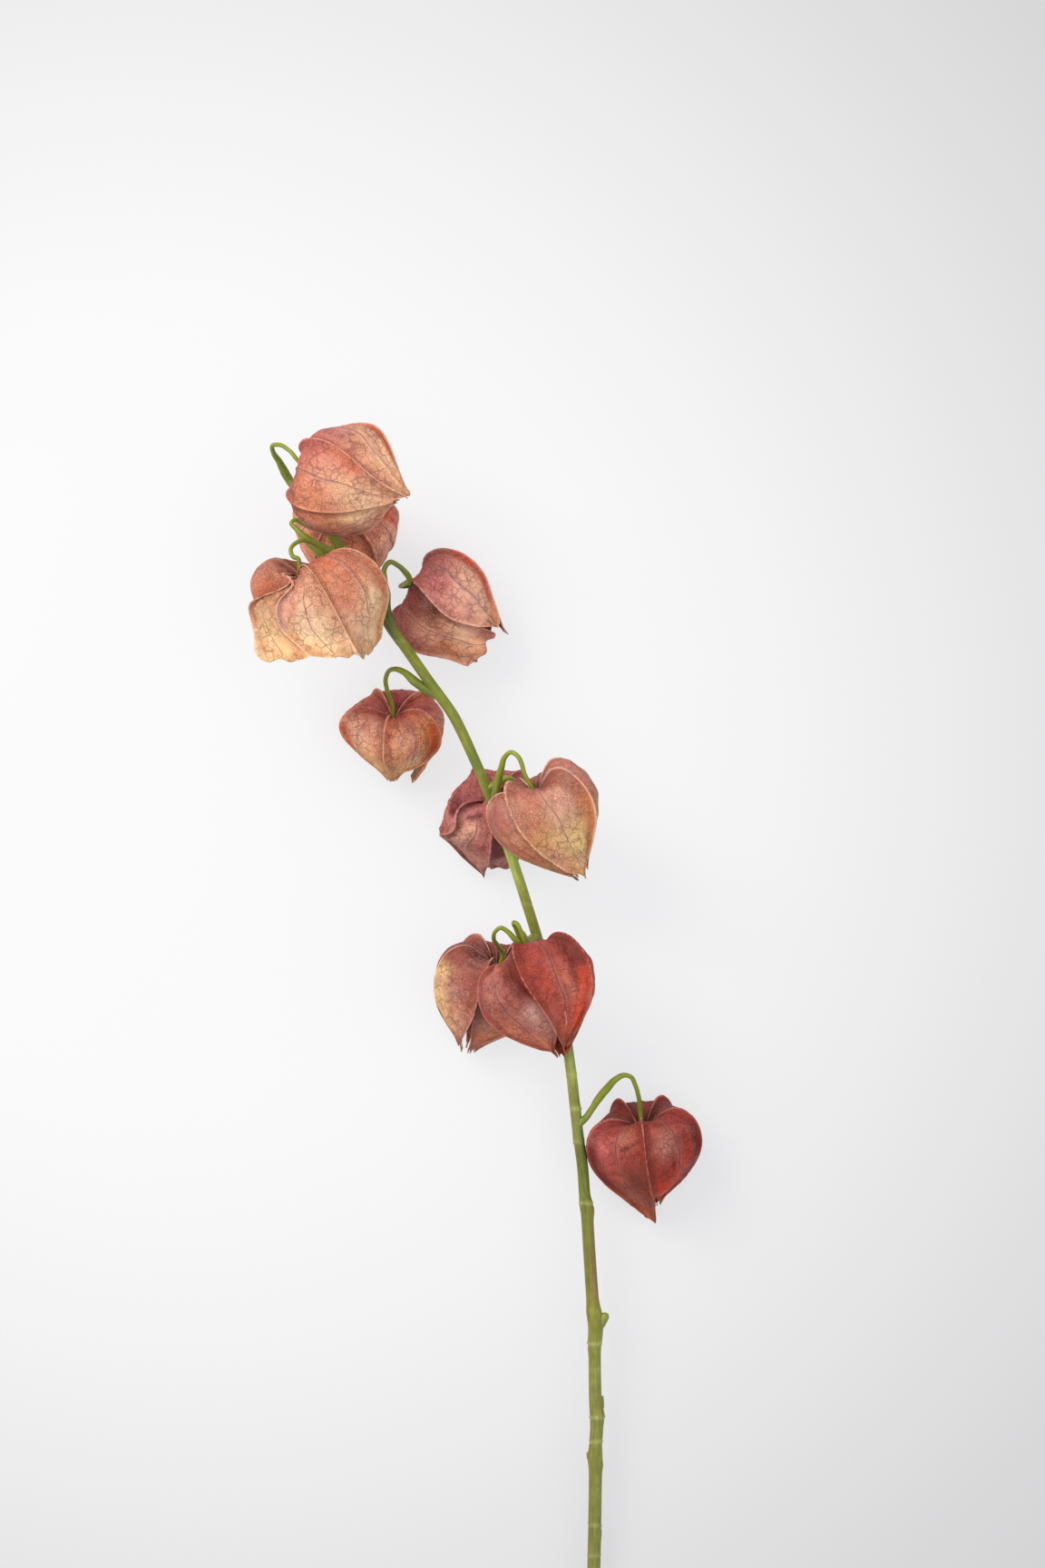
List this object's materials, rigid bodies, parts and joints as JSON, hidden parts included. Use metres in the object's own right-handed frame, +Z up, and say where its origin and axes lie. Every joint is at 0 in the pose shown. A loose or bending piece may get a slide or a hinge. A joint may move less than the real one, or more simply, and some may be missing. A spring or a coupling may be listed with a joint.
{
  "type": "chinese lantern stem",
  "caption": "Cut Physalis stem lying down, with papery five-sided lantern husks hanging on thin arching stalks along its upper half.",
  "frame": {"origin": "middle of the bounding box, on the surface that the stem lies on", "axes": "+Y along the stem from its cut end to its tip, +Z up from the surface, +X to the side of the lowest lantern"},
  "size_m": [0.1976, 0.5984, 0.0908],
  "materials": {
    "stem": "green bark, satin",
    "husk_rose": "papery, dull",
    "husk_peach": "papery, dull",
    "husk_red": "papery, dull"
  },
  "bodies": {
    "root": {"stem": "stem", "lantern_1": "husk_rose", "lantern_2": "husk_rose", "lantern_3": "husk_peach", "lantern_4": "husk_rose", "lantern_5": "husk_rose", "lantern_6": "husk_red", "lantern_7": "husk_peach", "lantern_8": "husk_rose", "lantern_9": "husk_red", "lantern_10": "husk_red"}
  },
  "joints": []
}
